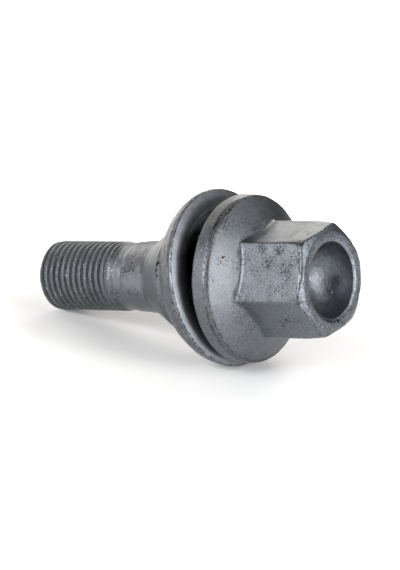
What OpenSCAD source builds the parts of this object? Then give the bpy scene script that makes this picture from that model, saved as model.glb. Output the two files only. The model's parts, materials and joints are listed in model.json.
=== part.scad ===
// Wheel bolt with a loose captive washer, lying at rest on its thread and on the washer's rim.
// Millimetres, +Z up. The bolt's axis runs along X with the head towards +X.
// The origin is on the ground, under the middle of the bounding box.
// Both parts are modelled around the Z axis, tip at the origin, and laid down by at_rest().

/* [Thread] */
// Diameter over the crests (M12)
thread_d = 11.9; // [10.8:0.05:12.2]
// Length of the threaded part, tip chamfer included
thread_length = 17; // [12:0.5:22]
// Depth of the chamfer at the tip
tip_chamfer = 1.25; // [0.6:0.05:2]
// Distance between the grooves
thread_pitch = 1.25; // [1:0.25:1.75]
// Depth of the grooves
thread_depth = 0.5; // [0.3:0.05:0.55]
// Width of the flat crest between two grooves
crest_width = 0.3; // [0.25:0.05:0.4]
// Distance from the tip to the middle of the first groove
first_groove = 2.4; // [2.2:0.1:2.8]

/* [Shank] */
// Depth of the relief behind the thread
relief_depth = 0.25; // [0.1:0.05:0.6]
// Length of the relief
relief_length = 1.6; // [1:0.1:3]
// Length of the shank from the thread to the cone
shank_length = 7.2; // [5:0.1:14]
// Diameter of the shank where the cone begins
shank_d = 12.4; // [12:0.05:13.2]

/* [Cone seat] */
// Included angle of the cone
cone_angle = 60; // [50:1:75]
// Length of the collar between the cone and the neck
collar_length = 1.6; // [1:0.1:3]

/* [Neck] */
// Diameter of the neck that carries the washer
neck_d = 14.2; // [13.6:0.1:15]

/* [Flange] */
// Outer diameter
flange_d = 27.8; // [26:0.1:30]
// Straight length of the rim
flange_rim = 1.9; // [1.4:0.1:3]
// Rounding of the rim's front edge
flange_edge_r = 0.8; // [0.4:0.1:1.2]
// Slope of the conical back face
flange_back_slope = 14; // [8:1:16]
// Slope of the conical front face
flange_front_slope = 30; // [26:1:34]

/* [Head] */
// Length from the flange's back face to the end
head_length = 18; // [16:0.1:24]
// Width across the flats of the hexagon (17 mm size)
hex_af = 16.8; // [16:0.1:19]
// Metal missing at the hexagon's corners
hex_corner_trim = 0.1; // [0.05:0.05:0.4]
// Turn about the bolt's axis
hex_turn = -17.3; // [-30:0.1:30]
// Inset of the flat end face from the flats
end_face_inset = 0.5; // [0.2:0.1:1]
// Slope of the chamfer over the corners
end_chamfer = 28; // [20:1:32]

/* [Dish in the head] */
// Width of the flat lip around the dish
dish_lip = 1.1; // [0.8:0.1:2]
// Size of the broken edge inside the lip
dish_edge = 0.6; // [0.3:0.1:0.8]
// Depth
dish_depth = 6.2; // [5:0.1:6.4]

/* [Washer] */
// Overhang of the washer beyond the flange
washer_overhang = 0.9; // [0.6:0.05:1.5]
// Straight length of the rim
washer_rim = 0.4; // [0.3:0.1:1]
// Rounding of the rim's front edge
washer_edge_r = 0.4; // [0.3:0.1:0.8]
// Length of the tapered part of the rim
washer_taper_length = 1.7; // [1.5:0.1:2.2]
// How much the rim tapers, on the radius
washer_taper = 0.7; // [0.4:0.1:0.9]
// Thickness from the front edge to the flat seat
washer_thickness = 4.4; // [4.2:0.1:5.4]
// Inset of the flat seat's edge from the rim
washer_seat_inset = 2.2; // [1.5:0.1:2.8]
// Slope of the hollow front face
washer_hollow_slope = 22; // [12:1:24]

/* [Washer on the neck] */
// Play between the bore and the neck, on the diameter
washer_clearance = 1.8; // [1.6:0.1:2.4]
// How much larger the collar is than the bore, on the diameter
washer_retention = 2.4; // [1.2:0.1:3]
// Play of the washer along the neck
washer_play = 5.2; // [5:0.1:7]
// Distance from the flange's back face to the centre of the washer's front
washer_gap = 3; // [2.8:0.1:3.4]
// Lean of the washer on the neck
washer_lean = 7.4; // [5:0.1:8.5]
// Height of the washer's centre above the bolt's axis
washer_lift = 0.2; // [0.1:0.05:0.35]

/* [Hidden] */
$fn = 96;
edge_fn = 32;

steel = [0.52, 0.54, 0.55];

thread_r = thread_d / 2;
root_width = 0.25;
groove_count = floor((thread_length - thread_pitch / 2 - first_groove) / thread_pitch);
neck_r = neck_d / 2;
bore_r = neck_r + washer_clearance / 2;
collar_r = bore_r + washer_retention / 2;
flange_r = flange_d / 2;
washer_r = flange_r + washer_overhang;
hex_corner_r = hex_af / 2 / cos(30) - hex_corner_trim;
end_face_r = hex_af / 2 - end_face_inset;

// Places along the axis, from the tip.
cone_start = thread_length + shank_length;
collar_start = cone_start + (collar_r - shank_d / 2) / tan(cone_angle / 2);
neck_start = collar_start + collar_length;
flange_back = neck_start + washer_thickness + washer_play;
head_end = flange_back + head_length;
washer_front = flange_back - washer_gap;

// Corners of the washer's rim, as [radius, height above its front].
washer_rim_back = [washer_r, -washer_edge_r - washer_rim];
washer_taper_end = washer_rim_back - [washer_taper, washer_taper_length];

// Lowest corners of the thread and of the leaning washer, as [along the axis, below the axis].
// The bolt rests on the thread's and on that one of the washer's that lifts it more.
thread_foot = [tip_chamfer, thread_r];
washer_feet = [for (corner = [washer_rim_back, washer_taper_end]) [
    washer_front + corner[1] * cos(washer_lean) + corner[0] * sin(washer_lean),
    corner[0] * cos(washer_lean) - corner[1] * sin(washer_lean) - washer_lift
]];
rest_angle = max([for (foot = washer_feet) atan2(foot[1] - thread_foot[1], foot[0] - thread_foot[0])]);
rest_height = thread_foot[1] * cos(rest_angle) - thread_foot[0] * sin(rest_angle);
low_x = (tip_chamfer - thread_r) * sin(rest_angle);
high_x = head_end * cos(rest_angle) + end_face_r * sin(rest_angle);

// Lays the upright bolt down on its thread and on the washer's rim.
module at_rest() {
    translate([-(low_x + high_x) / 2, 0, rest_height])
        rotate([0, 90 - rest_angle, 0])
            children();
}

// Profile of the thread's grooves, one after the other, with straight flanks down to a narrow root.
function groove_profile() =
    let (flank = (thread_pitch - crest_width - root_width) / 2)
    [for (i = [0:groove_count - 1])
        let (middle = first_groove + i * thread_pitch)
        each [
            [thread_r, middle - root_width / 2 - flank],
            [thread_r - thread_depth, middle - root_width / 2],
            [thread_r - thread_depth, middle + root_width / 2],
            [thread_r, middle + root_width / 2 + flank]
        ]
    ];

// Tip, thread, relief, shank, cone, collar, neck and flange in one profile.
module turned_body() {
    relief_r = thread_r - relief_depth;
    back_edge = 0.4;
    back_rim_r = flange_r - back_edge;
    edge_centre = [flange_r - flange_edge_r, flange_back + back_edge + flange_rim];
    slope_start = edge_centre + flange_edge_r * [sin(flange_front_slope), cos(flange_front_slope)];
    foot_r = hex_af / 2 - 1;
    foot = slope_start[1] + (slope_start[0] - foot_r) * tan(flange_front_slope);
    rotate_extrude()
        union() {
            polygon([
                [0, 0],
                [thread_r - tip_chamfer, 0],
                [thread_r, tip_chamfer],
                each groove_profile(),
                [thread_r, thread_length],
                [relief_r, thread_length + relief_depth],
                [relief_r, thread_length + relief_length],
                [shank_d / 2, cone_start],
                [collar_r, collar_start],
                [collar_r, neck_start],
                [neck_r, neck_start],
                [neck_r, flange_back - (back_rim_r - neck_r) * tan(flange_back_slope)],
                [back_rim_r, flange_back],
                [flange_r, flange_back + back_edge],
                [flange_r, edge_centre[1]],
                edge_centre,
                slope_start,
                [foot_r, foot],
                [0, foot]
            ]);
            translate(edge_centre)
                circle(r = flange_edge_r, $fn = edge_fn);
        }
}

// Hexagonal prism with trimmed corners, a flat end face and a chamfer over the corners.
module hexagon() {
    foot = flange_back + 1;
    chamfer_drop = (hex_corner_r - end_face_r) * tan(end_chamfer);
    intersection() {
        translate([0, 0, foot])
            rotate([0, 0, hex_turn])
                linear_extrude(height = head_length - 1)
                    circle(r = hex_af / 2 / cos(30), $fn = 6);
        rotate_extrude()
            polygon([
                [0, foot - 1],
                [hex_corner_r, foot - 1],
                [hex_corner_r, head_end - chamfer_drop],
                [end_face_r, head_end],
                [0, head_end]
            ]);
    }
}

// Bowl-shaped hollow in the end of the head, with a broken edge inside the lip.
module dish() {
    mouth_r = end_face_r - dish_lip - dish_edge;
    mouth = head_end - dish_edge / 2;
    bowl_depth = dish_depth - dish_edge / 2;
    bowl_r = (pow(mouth_r, 2) + pow(bowl_depth, 2)) / (2 * bowl_depth);
    translate([0, 0, mouth - bowl_depth + bowl_r])
        sphere(r = bowl_r);
    translate([0, 0, mouth])
        cylinder(r1 = mouth_r, r2 = mouth_r + 2 * dish_edge, h = dish_edge);
}

module bolt() {
    color(steel)
        at_rest()
            difference() {
                union() {
                    turned_body();
                    hexagon();
                }
                dish();
            }
}

// Ring with a hollow front towards the flange and a raised flat seat towards the wheel.
module washer() {
    edge_centre = [washer_r - washer_edge_r, -washer_edge_r];
    hollow_start = edge_centre
        + washer_edge_r * [-sin(washer_hollow_slope), cos(washer_hollow_slope)];
    hollow_end = hollow_start[1] - (hollow_start[0] - bore_r) * tan(washer_hollow_slope);
    color(steel)
        at_rest()
            translate([-washer_lift, 0, washer_front])
                rotate([0, -washer_lean, 0])
                    rotate_extrude()
                        union() {
                            polygon([
                                [bore_r, -washer_thickness],
                                [washer_r - washer_seat_inset, -washer_thickness],
                                washer_taper_end,
                                washer_rim_back,
                                [washer_r, edge_centre[1]],
                                edge_centre,
                                hollow_start,
                                [bore_r, hollow_end]
                            ]);
                            translate(edge_centre)
                                circle(r = washer_edge_r, $fn = edge_fn);
                        }
}

bolt();
washer();
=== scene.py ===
"""Wheel bolt with a loose captive washer, lying on its thread and on the washer's rim.

Each part is modelled around its own Z axis in millimetres, and laid in the frame by its Placement.
"""
import json
import logging
import math
from dataclasses import dataclass, field
from enum import Enum

import bpy
import numpy as np
from mathutils import Euler, Matrix, Vector, noise

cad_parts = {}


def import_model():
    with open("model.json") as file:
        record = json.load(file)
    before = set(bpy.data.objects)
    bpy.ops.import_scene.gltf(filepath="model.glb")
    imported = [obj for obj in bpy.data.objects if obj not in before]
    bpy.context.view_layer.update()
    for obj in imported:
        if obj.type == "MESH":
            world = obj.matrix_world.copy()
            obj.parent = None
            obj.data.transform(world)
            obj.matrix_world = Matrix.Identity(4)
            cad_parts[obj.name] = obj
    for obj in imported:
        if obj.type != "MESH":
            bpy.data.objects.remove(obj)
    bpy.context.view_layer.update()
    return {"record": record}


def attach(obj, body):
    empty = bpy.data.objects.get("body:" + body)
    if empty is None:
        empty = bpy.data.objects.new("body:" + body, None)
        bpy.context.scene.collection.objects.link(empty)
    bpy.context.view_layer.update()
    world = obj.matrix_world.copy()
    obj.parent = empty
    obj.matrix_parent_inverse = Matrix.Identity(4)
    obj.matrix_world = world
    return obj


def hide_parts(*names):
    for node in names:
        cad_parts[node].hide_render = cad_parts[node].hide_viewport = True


LOG = logging.getLogger("wheel_bolt")
MM = 0.001
# Attributes of the meshes that the materials read: how far an edge is rubbed, and the place along the axis.
WEAR = "wear"
ALONG = "along"

Tree = bpy.types.NodeTree
Socket = bpy.types.NodeSocket
# One value, or one for each angle around a ring.
Values = float | np.ndarray


class Zone(Enum):
    """Part of the bolt's surface that was made in its own way, and the number of its material slot. The neck
    is a zone of its own only so that it can be painted almost black as shade.
    """

    THREAD = 0
    SHANK = 1
    SEAT = 2
    FLANGE = 3
    HEXAGON = 4
    END = 5
    DISH = 6
    # Painted shade: the collar's face, the neck and the flange's back behind the washer.
    NECK = 7


class WasherZone(Enum):
    """Part of the washer's surface that was made in its own way, and the number of its material slot. The
    hollow and the throat are one pressed surface, with the hollow painted lighter as light on its lip and the
    throat painted darker as shade.
    """

    BACK = 0
    # Painted light: lighter where the lip is lit.
    HOLLOW = 1
    # Painted shade: darker towards the bore, in the gap behind the flange.
    THROAT = 2


class Stain(Enum):
    """What a small mark on the coating is, and its sRGB colour."""

    PIT = "17181b"
    RUST = "2a211c"
    METAL = "d8dadc"


@dataclass(frozen=True)
class Placement:
    """Where a part's own frame lies: its origin in metres and its Z axis. Its Y axis is the frame's."""

    origin: Vector
    axis: Vector

    def matrix(self) -> Matrix:
        """Works out the way from the part's own frame.

        Returns:
            The matrix from the part's millimetres to the frame's metres.
        """
        z = self.axis.normalized()
        x = Vector((0.0, 1.0, 0.0)).cross(z).normalized()
        y = z.cross(x)
        turn = Matrix((x, y, z)).transposed().to_4x4()
        return Matrix.Translation(self.origin) @ turn @ Matrix.Scale(MM, 4)


@dataclass(frozen=True)
class Corner:
    """A corner of a turned outline.

    A radius or height may differ from angle to angle. The zone and the step, which is the distance
    between rings, hold for the stretch that starts here, and the wear for the corner itself.
    """

    radius: Values
    height: Values
    zone: Enum
    fillet: float = 0.0
    wear: float = 0.0
    step: float = 0.8


def smooth_step(low: float, high: float, value: Values) -> Values:
    """Rises smoothly from 0 to 1.

    Args:
        low: Where it leaves 0.
        high: Where it reaches 1.
        value: Value or values to map.

    Returns:
        What they are mapped to.
    """
    t = np.clip((value - low) / (high - low), 0.0, 1.0)
    return t * t * (3.0 - 2.0 * t)


def soft_min(a: Values, b: Values, blend: float) -> Values:
    """Returns the smaller of two values, rounded where they meet over the length of blend."""
    gap = np.clip(0.5 + 0.5 * (b - a) / blend, 0.0, 1.0)
    return b + (a - b) * gap - blend * gap * (1.0 - gap)


def slope(degrees: float) -> float:
    """Returns the rise over the run of a slope given in degrees."""
    return math.tan(math.radians(degrees))


class Skin:
    """Closed skin made of rings around the Z axis, in millimetres."""

    bend_steps: int = 5
    # The first and last ring of a stretch lie this near its corners, in mm and as a share of it at most,
    # which keeps the shading of the edges tight.
    guard: float = 0.06
    guard_share: float = 0.25
    # Unevenness is a coarse noise and a finer one, moved inwards so that little of it stands proud.
    fine_ratio: float = 2.3
    fine_share: float = 0.5
    fine_start: Vector = Vector((7.0, 3.0, 1.0))
    inwards: float = 0.4

    def __init__(self, angles: np.ndarray) -> None:
        """Starts an empty skin.

        Args:
            angles: The angles of the vertices on every ring, in radians.
        """
        self.angles = angles
        self.radii: list[np.ndarray] = []
        self.heights: list[np.ndarray] = []
        self.zones: list[Enum] = []
        self.wears: list[float] = []

    def ring(self, radius: Values, height: Values, zone: Enum, wear: float = 0.0) -> None:
        """Adds a ring.

        Args:
            radius: Its radius, the same all round or one for each angle.
            height: Its place along the axis, likewise.
            zone: The zone of the faces between it and the next ring.
            wear: How far its coating is rubbed, from 0 to 1.
        """
        ones = np.ones_like(self.angles)
        self.radii.append(radius * ones)
        self.heights.append(height * ones)
        self.zones.append(zone)
        self.wears.append(wear)

    def outline(self, corners: list[Corner], closed: bool = False) -> None:
        """Adds the rings of a turned outline, with a fillet at each corner that has one.

        Args:
            corners: The corners in order. A fillet on the first or last one counts only if closed.
            closed: Whether the outline returns to its first corner, as that of a washer does.
        """
        last = len(corners) - 1
        ones = np.ones_like(self.angles)
        points = [np.stack((c.radius * ones, c.height * ones)) for c in corners]
        fillets = [c.fillet if closed or 0 < i < last else 0.0 for i, c in enumerate(corners)]
        for i, corner in enumerate(corners):
            following = 0 if i == last else i + 1
            here, before, after = points[i], points[i - 1], points[following]
            start = here + self._towards(here, before) * fillets[i]
            end = here + self._towards(here, after) * fillets[i]
            if fillets[i] > 0.0:
                self._bend(corner, start, here, end)
            self.ring(*end, corner.zone, 0.0 if fillets[i] else corner.wear)
            if closed or i < last:
                self._stretch(corner, end, after + self._towards(after, here) * fillets[following])

    def _bend(self, corner: Corner, start: np.ndarray, middle: np.ndarray, end: np.ndarray) -> None:
        """Adds the rings of a fillet, all but the last.

        Args:
            corner: The corner that it rounds, worn most at the fillet's middle.
            start: Where the fillet begins, one point for each angle.
            middle: Where the corner would be without it.
            end: Where it ends.
        """
        for k in range(self.bend_steps):
            t = k / self.bend_steps
            bend = (1 - t) ** 2 * start + 2 * t * (1 - t) * middle + t * t * end
            self.ring(*bend, corner.zone, corner.wear * (1 - (2 * t - 1) ** 2))

    def _stretch(self, corner: Corner, start: np.ndarray, end: np.ndarray) -> None:
        """Adds the rings between two corners.

        Args:
            corner: The corner before them, which gives their zone and step.
            start: Where the stretch begins, one point for each angle.
            end: Where it ends.
        """
        length = float(np.linalg.norm(end - start, axis=0).mean())
        steps = max(1, round(length / corner.step))
        edge = min(self.guard / max(length, 2 * self.guard), self.guard_share)
        for share in np.unique(np.concatenate(([edge, 1 - edge], np.arange(1, steps) / steps))):
            self.ring(*(start + (end - start) * share), corner.zone)

    @staticmethod
    def _towards(here: np.ndarray, there: np.ndarray) -> np.ndarray:
        """Returns the unit vectors from one outline point to another, one for each angle."""
        step = there - here
        return step / np.maximum(np.linalg.norm(step, axis=0), 1e-9)

    def build(
        self, name: str, place: Placement, tube: bool, unevenness: dict[Enum, tuple[float, float]]
    ) -> bpy.types.Object:
        """Makes the mesh object.

        Args:
            name: The piece's name.
            place: Where it lies.
            tube: Whether the last ring joins the first. If not, both ends close at a point on the axis.
            unevenness: For each zone, the height of its unevenness and the size of its waves, in mm.

        Returns:
            The object, linked to the scene, with its wear and its places along the axis as attributes.
        """
        radii, heights = np.array(self.radii), np.array(self.heights)
        places = np.stack((radii * np.cos(self.angles), radii * np.sin(self.angles), heights), axis=-1)
        vertices = places.reshape(-1, 3).tolist()
        wears = np.repeat(self.wears, len(self.angles)).tolist()
        faces, slots = self._sides(tube)
        if not tube:
            vertices += [[0.0, 0.0, float(heights[end].mean())] for end in (0, -1)]
            wears += [0.0, 0.0]
            end_faces, end_slots = self._ends()
            faces += end_faces
            slots += end_slots
        mesh = bpy.data.meshes.new(name)
        mesh.from_pydata(vertices, [], faces)
        mesh.polygons.foreach_set("material_index", slots)
        mesh.polygons.foreach_set("use_smooth", [True] * len(faces))
        mesh.attributes.new(WEAR, "FLOAT", "POINT").data.foreach_set("value", wears)
        mesh.attributes.new(ALONG, "FLOAT", "POINT").data.foreach_set("value", [v[2] for v in vertices])
        self._roughen(mesh, unevenness)
        mesh.transform(place.matrix())
        mesh.update()
        piece = bpy.data.objects.new(name, mesh)
        bpy.context.scene.collection.objects.link(piece)
        return piece

    def _sides(self, tube: bool) -> tuple[list[list[int]], list[int]]:
        """Works out the faces between the rings.

        Args:
            tube: Whether the last ring joins the first.

        Returns:
            The faces, and the material slot of each.
        """
        rings, around = len(self.radii), len(self.angles)
        low = np.arange(rings if tube else rings - 1)[:, None]
        high = (low + 1) % rings
        side = np.arange(around)[None, :]
        beside = (side + 1) % around
        corners = (low * around + side, low * around + beside, high * around + beside, high * around + side)
        faces = np.stack(corners, axis=-1).reshape(-1, 4).tolist()
        slots = np.repeat([z.value for z in self.zones], around)[: len(faces)].tolist()
        return faces, slots

    def _ends(self) -> tuple[list[list[int]], list[int]]:
        """Works out the faces from the first and the last ring to the two points on the axis.

        Returns:
            The faces, and the material slot of each. The two points come after those of the rings.
        """
        rings, around = len(self.radii), len(self.angles)
        first, last = rings * around, rings * around + 1
        top = (rings - 1) * around
        faces = [[first, (k + 1) % around, k] for k in range(around)]
        faces += [[last, top + k, top + (k + 1) % around] for k in range(around)]
        return faces, [self.zones[0].value] * around + [self.zones[-1].value] * around

    def _roughen(self, mesh: bpy.types.Mesh, unevenness: dict[Enum, tuple[float, float]]) -> None:
        """Moves each vertex along its normal by the unevenness of its zone.

        Args:
            mesh: The mesh, still in millimetres.
            unevenness: For each zone, the height of its unevenness and the size of its waves, in mm.
        """
        count = len(mesh.vertices)
        height, size = np.zeros(count), np.ones(count)
        corners = np.zeros(len(mesh.loops), dtype=np.int32)
        mesh.loops.foreach_get("vertex_index", corners)
        sides = [f.loop_total for f in mesh.polygons]
        slots = np.repeat([f.material_index for f in mesh.polygons], sides)
        for zone, (zone_height, zone_size) in unevenness.items():
            of_zone = corners[slots == zone.value]
            height[of_zone], size[of_zone] = zone_height, zone_size
        points, normals = np.zeros(count * 3), np.zeros(count * 3)
        mesh.vertices.foreach_get("co", points)
        mesh.vertex_normals.foreach_get("vector", normals)
        points, normals = points.reshape(-1, 3), normals.reshape(-1, 3)
        for k in np.flatnonzero(height):
            spot = Vector(points[k] / size[k])
            fine = noise.noise(spot * self.fine_ratio + self.fine_start)
            wave = noise.noise(spot) + self.fine_share * fine
            points[k] += normals[k] * height[k] * (wave - self.inwards)
        mesh.vertices.foreach_set("co", points.ravel())


@dataclass
class ForgedBolt:
    """The bolt, from its rolled thread to its dished end. Sizes in mm, heights counted from the tip."""

    place: Placement
    # Thread: its root is rounded, it fades out towards its end, and its crests fall to the groove behind.
    thread_r: float = 5.95
    pitch: float = 1.25
    thread_depth: float = 0.56
    crest_flat: float = 0.5
    flank_rise: float = math.sqrt(3.0)
    root_blend: float = 0.2
    thread_turn: float = -93.0
    fade_start: float = 14.4
    fade_end: float = 17.3
    fall_length: float = 1.2
    rings_per_pitch: int = 18
    # Tip: a sheared face with a rounded edge, as radii and heights, then the chamfer.
    tip_face: tuple[tuple[float, float], ...] = (
        (2.0, 0.3),
        (3.4, 0.22),
        (4.2, 0.06),
        (4.5, 0.0),
        (4.72, 0.06),
    )
    tip_wear: float = 0.3
    tip_chamfer: float = 1.25
    chamfer_start: float = 0.12
    chamfer_blend: float = 0.1
    # Groove, shank, conical seat, collar and neck.
    groove_r: float = 5.74
    groove_start: float = 17.4
    groove_end: float = 18.9
    shoulder: float = 19.4
    shoulder_r: float = 5.93
    cone_start: float = 24.2
    shank_r: float = 6.2
    collar_r: float = 9.2
    collar_start: float = 29.4
    neck_start: float = 31.0
    neck_r: float = 7.1
    # Flange: a coned back, a straight rim with a worn front edge, and a coned front.
    flange_back: float = 40.6
    flange_r: float = 13.88
    flange_back_slope: float = 14.0
    rim_end: float = 43.55
    rim_edge_in: float = 0.35
    rim_edge_back: float = 0.5
    front_slope: float = 30.0
    # Hexagon: its corners are rounded, and worn down to corner_r over the last stretch before the end.
    hex_apothem: float = 8.4
    hex_corner: float = 0.6
    hex_turn: float = -17.3
    corner_r: float = 9.3
    corner_fall: float = 2.4
    corner_blend: float = 0.3
    head_end: float = 58.58
    end_face_r: float = 7.9
    end_chamfer: float = 28.0
    # Dish: a lip that drops to its mouth, and a bowl that ends at a small angle (in radians) off the axis.
    lip_r: float = 6.8
    lip_drop: float = 0.3
    mouth_r: float = 6.2
    dish_depth: float = 6.2
    bowl_corners: int = 18
    bowl_end: float = 0.04
    # For each zone, the height of its unevenness and the size of its waves.
    unevenness: dict[Zone, tuple[float, float]] = field(
        default_factory=lambda: {
            Zone.SHANK: (0.05, 1.1),
            Zone.SEAT: (0.03, 1.6),
            Zone.FLANGE: (0.05, 2.4),
            Zone.HEXAGON: (0.05, 2.0),
            Zone.END: (0.07, 0.9),
            Zone.DISH: (0.03, 0.6),
        }
    )

    def build(self) -> bpy.types.Object:
        """Builds the bolt as one closed mesh.

        Returns:
            The piece, which stands for the bolt's node.
        """
        skin = Skin(self.angles())
        self.thread(skin)
        self.body(skin)
        return skin.build("forged_bolt", self.place, tube=False, unevenness=self.unevenness)

    def dress(self, piece: bpy.types.Object) -> None:
        """Gives each zone of the bolt's mesh its finish."""
        for zone in Zone:
            piece.data.materials.append(BOLT_FINISHES[zone].material())

    def angles(self) -> np.ndarray:
        """Spreads the vertices of a ring, dense at the hexagon's corners.

        Returns:
            Their angles in radians.
        """
        from_corner = (0.0, 0.5, 1.0, 1.5, 2.1, 3.3, 5.2, 7.6, 10.2, 13.0, 15.8, 18.6, 21.4, 24.2, 27.1, 30.0)
        sector = sorted(set(from_corner) | {60.0 - a for a in from_corner})[:-1]
        return np.radians([self.hex_turn + 60.0 * k + a for k in range(6) for a in sector])

    def hexagon(self, angles: np.ndarray) -> np.ndarray:
        """Works out the hexagon's outline, its corners rounded.

        Args:
            angles: Angles about the axis, in radians.

        Returns:
            Its radius at each of them.
        """
        half_side = math.radians(30.0)
        from_face = np.abs((angles - math.radians(self.hex_turn)) % (2 * half_side) - half_side)
        flat = self.hex_apothem / np.cos(from_face)
        centre = (self.hex_apothem - self.hex_corner) / math.cos(half_side)
        from_corner = half_side - from_face
        inside = np.maximum(self.hex_corner**2 - (centre * np.sin(from_corner)) ** 2, 0.0)
        rounded = centre * np.cos(from_corner) + np.sqrt(inside)
        tangent = math.atan2(centre * math.sin(half_side), self.hex_apothem)
        return np.where(from_face > tangent, rounded, flat)

    def thread(self, skin: Skin) -> None:
        """Adds the rings of the tip, the helical thread and its run-out.

        Args:
            skin: The bolt's skin, which they begin.
        """
        for radius, height in self.tip_face:
            skin.ring(radius, height, Zone.THREAD, self.tip_wear)
        step = self.pitch / self.rings_per_pitch
        turns = (skin.angles + math.radians(self.thread_turn)) / (2 * math.pi)
        fall_start = self.fade_end - self.fall_length
        for height in np.arange(self.chamfer_start, self.fade_end + step, step):
            from_crest = np.abs((height / self.pitch - turns) % 1.0 - 0.5) * self.pitch
            flank = np.maximum(self.flank_rise * (from_crest - self.crest_flat / 2), 0.0)
            depth = np.clip(soft_min(flank, self.thread_depth, self.root_blend), 0.0, None)
            depth = depth * (1.0 - smooth_step(self.fade_start, self.fade_end, height))
            fall = (self.thread_r - self.groove_r) * smooth_step(fall_start, self.fade_end, height)
            chamfer = self.thread_r - self.tip_chamfer + height
            radius = soft_min(self.thread_r - fall - depth, chamfer, self.chamfer_blend)
            skin.ring(radius, height, Zone.THREAD)

    def body(self, skin: Skin) -> None:
        """Adds everything from the groove behind the thread to the bottom of the dish.

        Args:
            skin: The bolt's skin, with the thread's rings.
        """
        back_foot = self.flange_back - (self.flange_r - self.neck_r) * slope(self.flange_back_slope)
        front_r = self.flange_r - self.rim_edge_in
        rim_edge = self.rim_end - self.rim_edge_back
        sides = self.hexagon(skin.angles)
        foot = self.rim_end + (front_r - sides) * slope(self.front_slope)
        worn_sides = soft_min(sides, self.corner_r, self.corner_blend)
        chamfer = self.head_end - (worn_sides - self.end_face_r) * slope(self.end_chamfer)
        mouth = self.head_end - self.lip_drop
        skin.outline(
            [
                Corner(self.groove_r, self.groove_start, Zone.SHANK),
                Corner(self.groove_r, self.groove_end, Zone.SHANK, fillet=0.15),
                Corner(self.shoulder_r, self.shoulder, Zone.SHANK, fillet=0.12, wear=0.5, step=0.35),
                Corner(self.shank_r, self.cone_start, Zone.SEAT, fillet=0.5, wear=0.3, step=0.5),
                Corner(self.collar_r, self.collar_start, Zone.FLANGE, fillet=0.25, wear=0.8),
                Corner(self.collar_r, self.neck_start, Zone.NECK, fillet=0.3, wear=0.6),
                Corner(self.neck_r, self.neck_start, Zone.NECK, fillet=0.4),
                Corner(self.neck_r, back_foot, Zone.NECK, fillet=0.8),
                Corner(self.flange_r, self.flange_back, Zone.FLANGE, fillet=0.35, wear=0.6, step=0.5),
                Corner(self.flange_r, rim_edge, Zone.FLANGE, fillet=0.45, wear=1.0, step=0.5),
                Corner(front_r, self.rim_end, Zone.FLANGE, fillet=0.4, wear=0.8, step=0.6),
                Corner(sides, foot, Zone.HEXAGON, fillet=0.5, step=0.6),
                Corner(sides, chamfer - self.corner_fall, Zone.HEXAGON, fillet=1.5, step=0.4),
                Corner(worn_sides, chamfer, Zone.END, fillet=0.3, wear=1.0, step=0.3),
                Corner(self.end_face_r, self.head_end, Zone.END, fillet=0.3, wear=0.4, step=0.3),
                Corner(self.lip_r, self.head_end, Zone.END, fillet=0.2, wear=0.2, step=0.2),
                Corner(self.mouth_r, mouth, Zone.DISH, fillet=0.06, wear=0.6, step=0.3),
                *self.bowl(),
            ]
        )

    def bowl(self) -> list[Corner]:
        """Draws the bowl in the head's end, an arc from its mouth almost to the axis.

        Returns:
            Its outline, without the mouth.
        """
        depth = self.dish_depth - self.lip_drop
        radius = (self.mouth_r**2 + depth**2) / (2 * depth)
        centre = self.head_end - self.dish_depth + radius
        mouth = math.asin(self.mouth_r / radius)
        return [
            Corner(radius * math.sin(a), centre - radius * math.cos(a), Zone.DISH, step=0.25)
            for a in np.linspace(mouth, self.bowl_end, self.bowl_corners)[1:]
        ]


@dataclass
class CaptiveWasher:
    """The loose washer: hollow towards the flange, with a raised seat towards the wheel.

    Sizes in mm, heights counted from the centre of its front.
    """

    place: Placement
    # Back: a flat seat around the bore, and a tapered edge up to the rim.
    bore_r: float = 8.0
    seat_r: float = 12.6
    thickness: float = 4.4
    taper_r: float = 14.08
    taper_back: float = 2.5
    rim_r: float = 14.78
    rim_back: float = 0.85
    rim_front: float = 0.05
    # Front: a rounded lip inside the rim, then the hollow.
    lip_r: float = 12.8
    lip_rise: float = 0.66
    hollow_r: float = 10.6
    hollow_slope: float = 22.0
    steps_around: int = 220
    # For each zone, the height of its unevenness and the size of its waves.
    unevenness: dict[WasherZone, tuple[float, float]] = field(
        default_factory=lambda: {WasherZone.BACK: (0.06, 1.3), WasherZone.HOLLOW: (0.02, 3.0)}
    )

    def build(self) -> bpy.types.Object:
        """Builds the washer as one closed ring.

        Returns:
            The piece, which stands for the washer's node.
        """
        skin = Skin(np.linspace(0.0, 2 * math.pi, self.steps_around, endpoint=False))
        inner = -(self.rim_r - self.bore_r) * slope(self.hollow_slope)
        back, hollow, throat = WasherZone
        skin.outline(
            [
                Corner(self.bore_r, -self.thickness, back, fillet=0.25, wear=0.5),
                Corner(self.seat_r, -self.thickness, back, fillet=0.35, wear=0.8, step=0.5),
                Corner(self.taper_r, -self.taper_back, back, fillet=0.25, wear=1.0, step=0.2),
                Corner(self.rim_r, -self.rim_back, back, fillet=0.25, wear=1.0, step=0.2),
                Corner(self.rim_r, -self.rim_front, hollow, fillet=0.3, wear=1.0, step=0.15),
                Corner(self.lip_r, self.lip_rise, hollow, fillet=1.1, step=0.3),
                Corner(self.hollow_r, 0.0, throat, fillet=1.0),
                Corner(self.bore_r, inner, throat, fillet=0.3),
            ],
            closed=True,
        )
        return skin.build("captive_washer", self.place, tube=True, unevenness=self.unevenness)

    def dress(self, piece: bpy.types.Object) -> None:
        """Gives each zone of the washer's mesh its finish."""
        for zone in WasherZone:
            piece.data.materials.append(WASHER_FINISHES[zone].material())


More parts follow.
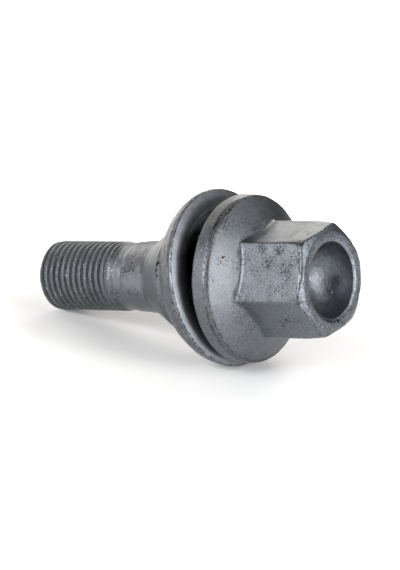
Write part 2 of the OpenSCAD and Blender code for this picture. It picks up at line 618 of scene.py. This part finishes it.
def linear(colour: str) -> tuple[float, float, float, float]:
    """Turns an sRGB hex colour to linear values.

    Args:
        colour: Six hex digits.

    Returns:
        Red, green, blue and an alpha of 1.
    """
    parts = [int(colour[i : i + 2], 16) / 255 for i in (0, 2, 4)]
    return (*(p / 12.92 if p <= 0.04045 else ((p + 0.055) / 1.055) ** 2.4 for p in parts), 1.0)


def add_node(
    tree: Tree, kind: str, inputs: dict[str | int, object] | None = None, **settings: object
) -> bpy.types.Node:
    """Adds a node.

    Args:
        tree: The tree that gets it.
        kind: Its type, such as ShaderNodeMath.
        inputs: Values or sockets for its inputs, by name or number. A socket is linked.
        settings: Its properties.

    Returns:
        The node.
    """
    node = tree.nodes.new(kind)
    for key, value in settings.items():
        setattr(node, key, value)
    for key, value in (inputs or {}).items():
        if isinstance(value, Socket):
            tree.links.new(value, node.inputs[key])
        else:
            node.inputs[key].default_value = value
    return node


def waves(place: Socket, size_mm: float, detail: float) -> dict[str, object]:
    """Returns the inputs of a noise whose largest waves are of that size."""
    return {"Vector": place, "Scale": 1 / size_mm, "Detail": detail, "Roughness": 0.6}


def spread(
    value: Socket, source: tuple[float, float], target: tuple[float, float] = (0.0, 1.0)
) -> dict[str, object]:
    """Returns the inputs that spread a value from one range to another, cut off at its ends."""
    names = ("From Min", "From Max", "To Min", "To Max")
    return {"Value": value, **dict(zip(names, source + target))}


@dataclass(frozen=True)
class Speckle:
    """A pattern of specks: a noise, and the levels at which a speck fades in and is full."""

    size_mm: float
    detail: float
    low: float
    high: float

    def mask(self, tree: Tree, place: Socket, strength: float = 1.0) -> Socket:
        """Draws the specks.

        Args:
            tree: The material's tree.
            place: The place on the part in mm.
            strength: The mask's value where a speck is full.

        Returns:
            Their mask.
        """
        level = add_node(tree, "ShaderNodeTexNoise", waves(place, self.size_mm, self.detail)).outputs[0]
        inputs = spread(level, (self.low, self.high), (0.0, strength))
        return add_node(tree, "ShaderNodeMapRange", inputs).outputs[0]


@dataclass(frozen=True)
class Spot:
    """A small mark, or the middle of a field of pits, at a place of the frame, in mm."""

    place: tuple[float, float, float]
    radius: float
    stain: Stain = Stain.PIT

    def mask(self, tree: Tree, place: Socket, edge: tuple[float, float], shift: float = 0.0) -> Socket:
        """Draws the spot.

        Args:
            tree: The material's tree.
            place: The place on the part in mm.
            edge: Where it begins to fade and where it ends, as shares of its radius.
            shift: How far the place has been shifted on each axis.

        Returns:
            Its mask.
        """
        middle = tuple(x + shift for x in self.place)
        measure = add_node(tree, "ShaderNodeVectorMath", {0: place, 1: middle}, operation="DISTANCE")
        fade = (self.radius * edge[0], self.radius * edge[1])
        inputs = spread(measure.outputs["Value"], fade, (1.0, 0.0))
        return add_node(tree, "ShaderNodeMapRange", inputs).outputs[0]


# Noise levels of the darkest and lightest grains, and of the glossiest and dullest, with their swing.
TONE_LEVELS = (0.38, 0.62)
GLOSS_LEVELS = (0.3, 0.7)
GLOSS_SWING = 0.08
# Size of the warm flakes against the grains, and the levels that make one.
WARM_SIZE = 2.5
WARM_LEVELS = (0.5, 0.75)
# Relief: depth of a pit against the height of a grain, and its strength in the shading.
PIT_DEPTH = 1.5
RELIEF_STRENGTH = 0.7
# How fast a pit and a loose fleck fade in, as a rise of the noise, and the fleck's size in mm.
PIT_FADE = 0.06
FLECK_FADE = 0.04
FLECK_MM = 0.4
# Loose groups of pits, and how a field of pits fades and lifts the noise that they come from.
PIT_GROUPS = Speckle(2.6, 1.0, 0.5, 0.66)
FIELD_EDGE = (0.4, 1.3)
FIELD_LIFT = 0.08
# Broken lines and bright flecks on worn edges, and patches of thick coating.
WORN_LINES = Speckle(0.45, 2.0, 0.43, 0.54)
RUBBED_FLECKS = Speckle(0.7, 2.0, 0.48, 0.6)
THICK_PATCHES = Speckle(0.32, 2.0, 0.52, 0.64)
# A spot's outline wanders by up to half of SWIRL_MM.
SPOT_EDGE = (0.8, 1.2)
SWIRL_MM = 0.8
SWIRLS_PER_MM = 3.0


@dataclass(frozen=True)
class ZincFlakeCoating:
    """Zinc-flake coating, dip-spun on steel and cured.

    The flakes lie at all angles in the binder, so it looks like matt grey metal paint: it has no clear
    reflections, a fine grain of bluish and warm greys, dark pits where it is thin, and bright flecks
    where it was rubbed. Real flakes are about 0.02 mm, too fine to show, so the grain is that of their
    clumps. Strengths and shares run from 0 to 1.

    Attributes:
        name: The material's name.
        light: Colour of its light grains.
        dark: Colour of its dark grains.
        warm: Colour of its warmer flakes.
        bare: Colour of pits and of steel that lost its coating.
        fleck: Colour of bright flakes.
        metallic: Share of metal, less than that of bare zinc because of the binder.
        roughness: Roughness of a middling grain.
        mottle_mm: Size of the soft mottle.
        grain_mm: Size of the grains.
        grain: Share of the grain in the tone, with the mottle for the rest.
        warmth: Strength of the warm flakes.
        pits: Strength of the pits.
        pit_mm: Size of the pits.
        pit_level: Level of the noise that makes a pit, so a lower one gives more of them.
        flecks: Strength of the loose bright flecks.
        fleck_level: Level of the noise that makes a fleck.
        patches: Strength of the patches of thick coating.
        wear: Strength of the dark lines on worn edges.
        rub: Strength of the bright flecks on worn edges.
        bump_mm: Height of the relief.
        lines_mm: Distance between lines around the axis, or 0 for none.
        pit_fields: Places with more pits.
        spots: Single marks.
    """

    name: str
    light: str = "767b80"
    dark: str = "5b5f65"
    warm: str = "78736e"
    bare: str = "24262a"
    fleck: str = "a3a6a9"
    metallic: float = 0.9
    roughness: float = 0.42
    mottle_mm: float = 3.0
    grain_mm: float = 0.22
    grain: float = 0.6
    warmth: float = 0.55
    pits: float = 0.3
    pit_mm: float = 0.35
    pit_level: float = 0.6
    flecks: float = 0.25
    fleck_level: float = 0.7
    patches: float = 0.0
    wear: float = 0.7
    rub: float = 0.5
    bump_mm: float = 0.03
    lines_mm: float = 0.0
    pit_fields: tuple[Spot, ...] = ()
    spots: tuple[Spot, ...] = ()

    def material(self) -> bpy.types.Material:
        """Builds the material.

        Returns:
            The material, with all its detail worked out from the place on the part.
        """
        made = bpy.data.materials.new(self.name)
        made.use_nodes = True
        tree = made.node_tree
        tree.nodes.clear()
        metres = add_node(tree, "ShaderNodeTexCoord").outputs["Object"]
        to_mm = {0: metres, "Scale": 1 / MM}
        place = add_node(tree, "ShaderNodeVectorMath", to_mm, operation="SCALE").outputs[0]
        grain = add_node(tree, "ShaderNodeTexNoise", waves(place, self.grain_mm, 1.0)).outputs[0]
        pits = self._pits(tree, place)
        gloss = spread(grain, GLOSS_LEVELS, (self.roughness - GLOSS_SWING, self.roughness + GLOSS_SWING))
        surface = {
            "Base Color": self._colour(tree, place, grain, pits),
            "Metallic": self.metallic,
            "Roughness": add_node(tree, "ShaderNodeMapRange", gloss).outputs[0],
            "Normal": self._relief(tree, grain, pits),
        }
        shader = add_node(tree, "ShaderNodeBsdfPrincipled", surface)
        add_node(tree, "ShaderNodeOutputMaterial", {"Surface": shader.outputs[0]})
        return made

    def _colour(self, tree: Tree, place: Socket, grain: Socket, pits: Socket) -> Socket:
        """Lays the colours over each other: grain, warm flakes, pits, worn edges, flecks and spots.

        Args:
            tree: The material's tree.
            place: The place on the part in mm.
            grain: The grain.
            pits: The mask of the pits.

        Returns:
            The colour.
        """
        mottle = add_node(tree, "ShaderNodeTexNoise", waves(place, self.mottle_mm, 3.0)).outputs[0]
        shares = {0: self.grain, 2: mottle, 3: grain}
        tone = add_node(tree, "ShaderNodeMix", shares, data_type="FLOAT").outputs[0]
        lightness = add_node(tree, "ShaderNodeMapRange", spread(tone, TONE_LEVELS)).outputs[0]
        warm_flakes = Speckle(self.grain_mm * WARM_SIZE, 1.0, *WARM_LEVELS)
        worn = add_node(tree, "ShaderNodeAttribute", attribute_name=WEAR).outputs["Fac"]
        layers = [
            (lightness, self.light),
            (warm_flakes.mask(tree, place, self.warmth), self.warm),
            (pits, self.bare),
            (self._worn_lines(tree, place, worn), self.bare),
            (self._bright_flecks(tree, place, worn), self.fleck),
            *self._spots(tree, place),
        ]
        colour = linear(self.dark)
        for mask, over in layers:
            inputs = {0: mask, 6: colour, 7: linear(over)}
            colour = add_node(tree, "ShaderNodeMix", inputs, data_type="RGBA").outputs[2]
        return colour

    def _pits(self, tree: Tree, place: Socket) -> Socket:
        """Draws the dark pits, which lie in loose groups and in the pit fields.

        Args:
            tree: The material's tree.
            place: The place on the part in mm.

        Returns:
            Their mask.
        """
        group = PIT_GROUPS.mask(tree, place)
        depth = add_node(tree, "ShaderNodeTexNoise", waves(place, self.pit_mm, 2.0)).outputs[0]
        for spot in self.pit_fields:
            near = spot.mask(tree, place, FIELD_EDGE)
            group = add_node(tree, "ShaderNodeMath", {0: group, 1: near}, operation="MAXIMUM").outputs[0]
            lift = {0: near, 1: FIELD_LIFT, 2: depth}
            depth = add_node(tree, "ShaderNodeMath", lift, operation="MULTIPLY_ADD").outputs[0]
        inputs = spread(depth, (self.pit_level, self.pit_level + PIT_FADE), (0.0, self.pits))
        pits = add_node(tree, "ShaderNodeMapRange", inputs).outputs[0]
        return add_node(tree, "ShaderNodeMath", {0: pits, 1: group}, operation="MULTIPLY").outputs[0]

    def _worn_lines(self, tree: Tree, place: Socket, worn: Socket) -> Socket:
        """Draws the dark, broken lines on worn edges.

        Args:
            tree: The material's tree.
            place: The place on the part in mm.
            worn: How far the surface is rubbed.

        Returns:
            Their mask.
        """
        inputs = {0: worn, 1: WORN_LINES.mask(tree, place, self.wear)}
        return add_node(tree, "ShaderNodeMath", inputs, operation="MULTIPLY").outputs[0]

    def _bright_flecks(self, tree: Tree, place: Socket, worn: Socket) -> Socket:
        """Draws the bright flecks on worn edges, the loose ones, and the patches of thick coating.

        Args:
            tree: The material's tree.
            place: The place on the part in mm.
            worn: How far the surface is rubbed.

        Returns:
            Their mask.
        """
        inputs = {0: worn, 1: RUBBED_FLECKS.mask(tree, place, self.rub)}
        bright = add_node(tree, "ShaderNodeMath", inputs, operation="MULTIPLY").outputs[0]
        loose = Speckle(FLECK_MM, 1.0, self.fleck_level, self.fleck_level + FLECK_FADE)
        for speckle, strength in ((loose, self.flecks), (THICK_PATCHES, self.patches)):
            inputs = {0: bright, 1: speckle.mask(tree, place, strength)}
            bright = add_node(tree, "ShaderNodeMath", inputs, operation="MAXIMUM").outputs[0]
        return bright

    def _spots(self, tree: Tree, place: Socket) -> list[tuple[Socket, str]]:
        """Draws the single marks, with uneven outlines.

        Args:
            tree: The material's tree.
            place: The place on the part in mm.

        Returns:
            The mask and the colour of each.
        """
        if not self.spots:
            return []
        inputs = {"Vector": place, "Scale": SWIRLS_PER_MM, "Detail": 1.0}
        swirl = add_node(tree, "ShaderNodeTexNoise", inputs).outputs["Color"]
        inputs = {0: swirl, 1: (SWIRL_MM, SWIRL_MM, SWIRL_MM), 2: place}
        bent = add_node(tree, "ShaderNodeVectorMath", inputs, operation="MULTIPLY_ADD").outputs[0]
        return [(spot.mask(tree, bent, SPOT_EDGE, SWIRL_MM / 2), spot.stain.value) for spot in self.spots]

    def _relief(self, tree: Tree, grain: Socket, pits: Socket) -> Socket:
        """Raises the grain and any lines around the axis, and sinks the pits.

        Args:
            tree: The material's tree.
            grain: The grain.
            pits: The mask of the pits.

        Returns:
            The normal of the relief.
        """
        sunk = {0: pits, 1: -PIT_DEPTH, 2: grain}
        height = add_node(tree, "ShaderNodeMath", sunk, operation="MULTIPLY_ADD").outputs[0]
        if self.lines_mm:
            along = add_node(tree, "ShaderNodeAttribute", attribute_name=ALONG).outputs["Fac"]
            inputs = {"W": along, "Scale": 1 / self.lines_mm, "Detail": 1.0}
            lines = add_node(tree, "ShaderNodeTexNoise", inputs, noise_dimensions="1D").outputs[0]
            height = add_node(tree, "ShaderNodeMath", {0: height, 1: lines}, operation="ADD").outputs[0]
        inputs = {"Height": height, "Strength": RELIEF_STRENGTH, "Distance": self.bump_mm * MM}
        return add_node(tree, "ShaderNodeBump", inputs).outputs[0]


# Single marks and fields of pits, at their places on the bolt as it lies.
THREAD_MARKS = (
    Spot((-21.43, -5.32, 6.02), 0.4, Stain.RUST),
    *(
        Spot(place, 0.3, Stain.METAL)
        for place in (
            (-16.64, -5.39, 6.87),
            (-25.67, -5.61, 6.64),
            (-22.21, -5.57, 8.11),
            (-18.96, -4.92, 10.57),
            (-18.63, -1.68, 13.57),
            (-26.48, -5.52, 4.71),
        )
    ),
)
SHANK_PITS = (
    Spot((-8.7, -5.56, 12.47), 1.5),
    Spot((-10.1, -5.6, 11.7), 1.0),
    Spot((-8.2, -5.7, 8.4), 0.7),
)
FLANGE_MARKS = (
    *(
        Spot(place, 0.28)
        for place in (
            (-0.97, -8.41, 15.72),
            (-0.83, -8.72, 14.77),
            (-0.43, -8.97, 13.89),
            (-0.69, -8.28, 16.11),
        )
    ),
    Spot((13.51, -10.19, 20.7), 0.24, Stain.RUST),
)
FLANGE_PITS = (Spot((11.1, -8.05, 25.8), 2.2), Spot((10.4, -6.3, 27.2), 1.5))
HEXAGON_MARKS = (
    Spot((24.24, -6.35, 12.15), 0.3),
    Spot((24.92, -6.2, 12.13), 0.25),
    Spot((23.0, -5.2, 10.6), 0.3),
)
HEXAGON_PITS = (
    Spot((20.6, -7.55, 20.9), 1.5),
    Spot((24.0, -7.8, 20.6), 1.6),
    Spot((18.6, -6.9, 22.7), 1.0),
    Spot((22.0, -7.0, 23.2), 1.4),
    Spot((26.3, -7.3, 23.2), 1.4),
    Spot((23.5, -5.9, 11.5), 1.0),
)
END_MARKS = tuple(
    Spot(place, 0.26)
    for place in (
        (29.43, -2.37, 12.47),
        (29.48, -1.26, 12.19),
        (29.59, -0.53, 11.99),
        (29.59, 0.59, 12.03),
    )
)
DISH_SPECK_WITH_PAINTED_SHADOW = (
    # Painted shadow: a dark spot beside the bright speck, standing in for the speck's shadow.
    Spot((25.08, 4.11, 15.23), 0.22),
    Spot((25.3, 4.22, 15.18), 0.16, Stain.METAL),
)

BOLT_FINISHES = {
    # Rolled: a duller, darker thread, with bright specks where its crests were rubbed.
    Zone.THREAD: ZincFlakeCoating(
        "zinc_flake_on_rolled_thread",
        light="70757a",
        dark="565a5f",
        roughness=0.48,
        pits=0.5,
        flecks=0.8,
        fleck_level=0.65,
        wear=0.4,
        spots=THREAD_MARKS,
    ),
    # Turned, then pitted: light, with faint lines around it and dark pits in groups.
    Zone.SHANK: ZincFlakeCoating(
        "zinc_flake_on_turned_shank",
        light="84898e",
        dark="6a6f75",
        pits=0.8,
        pit_level=0.55,
        lines_mm=0.5,
        pit_fields=SHANK_PITS,
    ),
    # Turned smooth for the wheel: even, with few pits or flecks.
    Zone.SEAT: ZincFlakeCoating(
        "zinc_flake_on_turned_seat",
        light="71767b",
        dark="565a60",
        pits=0.2,
        flecks=0.15,
    ),
    # Forged and blasted: a strong, fine grain of light and warm flakes.
    Zone.FLANGE: ZincFlakeCoating(
        "zinc_flake_on_forged_flange",
        grain=0.8,
        pits=0.7,
        pit_level=0.58,
        wear=0.75,
        rub=0.15,
        pit_fields=FLANGE_PITS,
        spots=FLANGE_MARKS,
    ),
    # Forged too, but cooler in colour and with smaller pits.
    Zone.HEXAGON: ZincFlakeCoating(
        "zinc_flake_on_forged_hexagon",
        light="7d838a",
        dark="555a60",
        grain=0.8,
        warmth=0.3,
        pits=0.75,
        pit_mm=0.3,
        pit_level=0.56,
        patches=0.06,
        pit_fields=HEXAGON_PITS,
        spots=HEXAGON_MARKS,
    ),
    # Cropped and turned: patches of thick, light coating between dark pits.
    Zone.END: ZincFlakeCoating(
        "zinc_flake_on_turned_end",
        light="7c8289",
        dark="50555b",
        warmth=0.25,
        pits=0.7,
        pit_mm=0.3,
        pit_level=0.54,
        patches=0.3,
        wear=0.9,
        rub=0.35,
        bump_mm=0.04,
        spots=END_MARKS,
    ),
    # Pressed by a smooth punch: a soft, even grey with little grain, darker than the end's, which partly
    # paints the shade inside the bowl.
    Zone.DISH: ZincFlakeCoating(
        "zinc_flake_on_pressed_dish_partly_painted_shade",
        light="70757b",
        dark="575b61",
        grain=0.35,
        warmth=0.2,
        pits=0.15,
        flecks=0.0,
        spots=DISH_SPECK_WITH_PAINTED_SHADOW,
    ),
    # Behind the washer, the collar's face, the neck and the flange's back are painted almost black as painted
    # shade of the gap between washer and flange.
    Zone.NECK: ZincFlakeCoating(
        "zinc_flake_on_neck_painted_shade",
        light="2e3033",
        dark="222426",
        warm="2e2c2b",
        flecks=0.0,
    ),
}
WASHER_FINISHES = {
    # Sheared edge: rough and warm, with dark and bright flecks.
    WasherZone.BACK: ZincFlakeCoating(
        "zinc_flake_on_sheared_rim",
        light="6b7075",
        dark="53575c",
        pits=0.8,
        pit_level=0.56,
        flecks=0.5,
        patches=0.25,
        bump_mm=0.05,
    ),
    # Pressed: smooth and even. Its light grey is painted light, standing in for the light on the lip.
    WasherZone.HOLLOW: ZincFlakeCoating(
        "zinc_flake_on_pressed_hollow_painted_light",
        light="93989e",
        dark="7d8288",
        grain=0.3,
        warmth=0.1,
        pits=0.0,
        flecks=0.0,
        wear=0.9,
        rub=0.4,
    ),
    # Deep in the hollow, towards the bore, it is darker: painted shade of the gap behind the flange.
    WasherZone.THROAT: ZincFlakeCoating(
        "zinc_flake_in_throat_painted_shade",
        light="565a5f",
        dark="43464b",
        grain=0.3,
        warmth=0.1,
        pits=0.0,
        flecks=0.0,
    ),
}


@dataclass(frozen=True)
class Lamp:
    """A square softbox.

    Attributes:
        name: Its name.
        azimuth: Its direction around the object in degrees, 0 at -Y and 90 at +X.
        elevation: Its direction above the horizon in degrees.
        power: Its power in watts.
        size: Its side in metres.
        colour: Its sRGB colour.
    """

    name: str
    azimuth: float
    elevation: float
    power: float
    size: float = 0.24
    colour: str = "ffffff"


@dataclass(frozen=True)
class Studio:
    """White table, soft lamps and the camera at the photograph's angle."""

    # Place and turn of a camera that was fitted to the photograph.
    camera_mm: tuple[float, float, float] = (238.871, -322.930, 127.991)
    camera_turn_deg: tuple[float, float, float] = (73.697, -4.965, 37.712)
    focal_mm: float = 157.89
    sight_m: float = 20.0
    table_m: float = 6.0
    # The table glows from its lowest value near the object to white, and weaker in mirrored rays. The low
    # glow near the object paints a darker shadow on the table around it.
    painted_shadow_glow: float = 0.08
    painted_shadow_centre_m: tuple[float, float, float] = (-0.004, -0.01, 0.0)
    painted_shadow_reach_m: tuple[float, float] = (0.024, 0.12)
    mirrored_glow: float = 0.4
    lamp_distance_m: float = 0.5
    lamps: tuple[Lamp, ...] = (
        Lamp("front_low", 0.0, 6.0, 0.5),
        Lamp("front_high", 358.0, 28.0, 1.48),
        Lamp("front_left", 330.0, 25.0, 0.75),
        Lamp("right_low", 90.0, 6.0, 1.75, size=0.26),
        Lamp("right_high", 92.0, 28.0, 0.8),
        Lamp("right_top", 90.0, 52.0, 0.4),
        Lamp("top_right", 155.0, 48.0, 0.22),
        Lamp("back_right", 210.0, 28.0, 0.95, colour="fff9f1"),
        Lamp("back_left", 255.0, 17.0, 1.3, size=0.4, colour="fff9f1"),
    )

    def build(self) -> None:
        """Sets up the camera, the table, the white around it and the lamps."""
        self.camera()
        self.table()
        self.world()
        for lamp in self.lamps:
            self.light(lamp)
        bpy.context.scene.view_settings.view_transform = "Standard"

    def camera(self) -> None:
        """Adds the camera and makes it the scene's."""
        data = bpy.data.cameras.new("camera")
        data.lens = self.focal_mm
        data.clip_end = self.sight_m
        camera = bpy.data.objects.new("camera", data)
        camera.location = Vector(self.camera_mm) * MM
        camera.rotation_euler = Euler([math.radians(a) for a in self.camera_turn_deg])
        bpy.context.scene.collection.objects.link(camera)
        bpy.context.scene.camera = camera

    def table(self) -> bpy.types.Object:
        """Adds the white table top.

        Returns:
            The table top, which isn't part of the object.
        """
        half = self.table_m / 2
        corners = [(-half, -half, 0), (half, -half, 0), (half, half, 0), (-half, half, 0)]
        mesh = bpy.data.meshes.new("table_top")
        mesh.from_pydata(corners, [], [(0, 1, 2, 3)])
        mesh.materials.append(self.paper())
        table = bpy.data.objects.new("table_top", mesh)
        bpy.context.scene.collection.objects.link(table)
        return table

    def paper(self) -> bpy.types.Material:
        """Builds the table's paper: matt, takes the object's shadow, and glows white away from it. Its glow
        is lower near the object, which paints shadow there.

        Returns:
            The material.
        """
        paper = bpy.data.materials.new("white_paper_sweep")
        paper.use_nodes = True
        tree = paper.node_tree
        tree.nodes.clear()
        matt = add_node(tree, "ShaderNodeBsdfDiffuse", {"Color": linear("fdfdfd")})
        # Painted shadow: the glow is weakest around a centre near the object and rises to white away from it.
        spot = add_node(tree, "ShaderNodeNewGeometry").outputs["Position"]
        inputs = {0: spot, 1: self.painted_shadow_centre_m}
        away = add_node(tree, "ShaderNodeVectorMath", inputs, operation="DISTANCE").outputs["Value"]
        rise = spread(away, self.painted_shadow_reach_m, (self.painted_shadow_glow, 1.0))
        strength = add_node(tree, "ShaderNodeMapRange", rise).outputs[0]
        glow = add_node(tree, "ShaderNodeEmission", {"Color": linear("ffffff"), "Strength": strength})
        rays = add_node(tree, "ShaderNodeLightPath").outputs
        share = rays["Is Camera Ray"]
        for kind in ("Is Glossy Ray", "Is Transmission Ray"):
            inputs = {0: rays[kind], 1: self.mirrored_glow, 2: share}
            share = add_node(tree, "ShaderNodeMath", inputs, operation="MULTIPLY_ADD").outputs[0]
        both = add_node(tree, "ShaderNodeAddShader", {0: matt.outputs[0], 1: glow.outputs[0]})
        inputs = {0: share, 1: matt.outputs[0], 2: both.outputs[0]}
        surface = add_node(tree, "ShaderNodeMixShader", inputs)
        add_node(tree, "ShaderNodeOutputMaterial", {"Surface": surface.outputs[0]})
        return paper

    def world(self) -> None:
        """Shows white where the camera sees past the table, and gives no light."""
        world = bpy.data.worlds.new("white_room")
        bpy.context.scene.world = world
        world.use_nodes = True
        tree = world.node_tree
        tree.nodes.clear()
        seen = add_node(tree, "ShaderNodeLightPath").outputs["Is Camera Ray"]
        white = add_node(tree, "ShaderNodeBackground", {"Color": linear("ffffff"), "Strength": seen})
        add_node(tree, "ShaderNodeOutputWorld", {"Surface": white.outputs[0]})

    def light(self, lamp: Lamp) -> None:
        """Adds a softbox that faces the object.

        Args:
            lamp: The softbox.
        """
        data = bpy.data.lights.new(lamp.name, "AREA")
        data.size = lamp.size
        data.energy = lamp.power
        data.color = linear(lamp.colour)[:3]
        around, up = math.radians(lamp.azimuth), math.radians(lamp.elevation)
        way = Vector((math.sin(around) * math.cos(up), -math.cos(around) * math.cos(up), math.sin(up)))
        box = bpy.data.objects.new(lamp.name, data)
        box.location = way * self.lamp_distance_m
        box.rotation_euler = way.to_track_quat("Z", "Y").to_euler()
        bpy.context.scene.collection.objects.link(box)


def placements(record: dict) -> tuple[Placement, Placement]:
    """Reads where the bolt and the washer lie.

    Args:
        record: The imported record.

    Returns:
        The bolt's placement, from the tip on the axis, and the washer's, from the centre of its front.
    """
    thread = next(m for m in record["mounts"] if m["name"] == "thread")
    axis = -Vector(thread["axis"])
    middle_to_tip = thread["dims"]["length_mm"] / 2 + ForgedBolt.tip_chamfer
    tip = Vector(thread["pos_m"]) - axis * middle_to_tip * MM
    spin = next(j for j in record["behaviour"]["joints"] if j["name"] == "washer_spin")
    lean = Vector(spin["axis"])
    front = Vector(spin["pos_m"]) + lean * CaptiveWasher.thickness / 2 * MM
    return Placement(tip, axis), Placement(front, lean)


def main() -> None:
    """Builds the two pieces, dresses them, sets up the studio and logs their face counts."""
    logging.basicConfig(level=logging.INFO, format="%(message)s")
    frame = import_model()
    bolt_place, washer_place = placements(frame["record"])
    for part, node, slot in (
        (ForgedBolt(bolt_place), "bolt", "coated_steel"),
        (CaptiveWasher(washer_place), "washer", "coated_washer"),
    ):
        piece = part.build()
        part.dress(piece)
        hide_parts(node)
        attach(piece, node)
        LOG.info("%s: %d faces", piece.name, len(piece.data.polygons))
    Studio().build()


if __name__ == "__main__":
    main()
